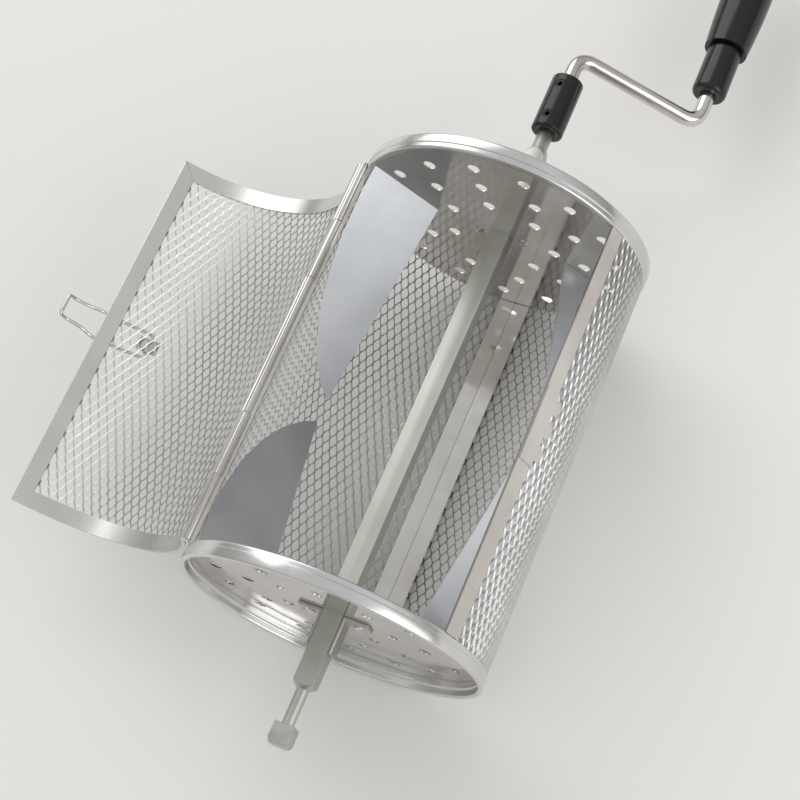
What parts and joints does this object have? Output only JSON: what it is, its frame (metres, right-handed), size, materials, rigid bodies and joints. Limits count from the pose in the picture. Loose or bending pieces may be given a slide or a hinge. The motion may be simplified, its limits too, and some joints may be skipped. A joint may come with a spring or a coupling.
{
  "type": "coffee bean roaster",
  "caption": "Wire mesh roasting drum on a square spit, with a hinged mesh door, wire latch, tilted stirring paddles and a crank with a turning grip.",
  "frame": {"origin": "centre of the spit's turned front neck, on the line that the whole drum turns about", "axes": "+Y along the spit towards the crank; +Z out through the middle of the filling mouth; the door hangs towards -X when it is open"},
  "size_m": [0.2243, 0.4215, 0.1208],
  "materials": {
    "polished_steel": "mirror polished stainless steel",
    "strip_steel": "satin folded stainless strip",
    "mesh_steel": "bright expanded stainless mesh",
    "plate_steel": "plain cold rolled stainless sheet",
    "bar_steel": "drawn bar with turned ends",
    "fastener_steel": "bright zinc plated",
    "black_moulding": "glossy moulded heat resistant plastic"
  },
  "bodies": {
    "drum": {"front_cap": "polished_steel", "rear_cap": "polished_steel", "crank_rod": "polished_steel", "hinge_rail": "strip_steel", "latch_rail": "strip_steel", "seam_strip_hinge_side": "strip_steel", "seam_strip_latch_side": "strip_steel", "catch_plate": "strip_steel", "hinge_side_mesh": "mesh_steel", "latch_side_mesh": "mesh_steel", "front_paddle_hinge_side": "plate_steel", "rear_paddle_hinge_side": "plate_steel", "front_paddle_latch_side": "plate_steel", "rear_paddle_latch_side": "plate_steel", "front_bracket": "plate_steel", "rear_bracket": "plate_steel", "spit": "bar_steel", "hinge_pin": "fastener_steel", "bracket_rivets": "fastener_steel", "front_clamp_screw": "fastener_steel", "rear_clamp_screw": "fastener_steel", "set_screw_1": "fastener_steel", "set_screw_2": "fastener_steel", "grip_retainer": "fastener_steel", "coupling_sleeve": "black_moulding"},
    "door": {"door_mesh": "mesh_steel", "door_hinge_strip": "strip_steel", "door_latch_strip": "strip_steel", "door_front_strip": "strip_steel", "door_rear_strip": "strip_steel", "latch_anchor": "strip_steel"},
    "latch": {"latch_wire": "fastener_steel"},
    "grip": {"grip_collar": "black_moulding", "grip_handle": "black_moulding", "grip_end_plug": "black_moulding"}
  },
  "joints": [
    {"name": "door_swing", "type": "hinge", "parent": "drum", "child": "door", "pos_m": [-0.05464, 0.121, 0.02844], "axis": [0, 1, 0], "range_deg": [0, 200]},
    {"name": "latch_lift", "type": "hinge", "parent": "door", "child": "latch", "pos_m": [-0.12888, 0.121, -0.02308], "axis": [0, -1, 0], "range_deg": [0, 25], "stiffness_Nm_per_rad": 0.01, "springref_deg": -11.46},
    {"name": "grip_spin", "type": "hinge", "parent": "drum", "child": "grip", "pos_m": [0.05073, 0.3695, -0.02812], "axis": [0, 1, 0], "continuous": true}
  ]
}
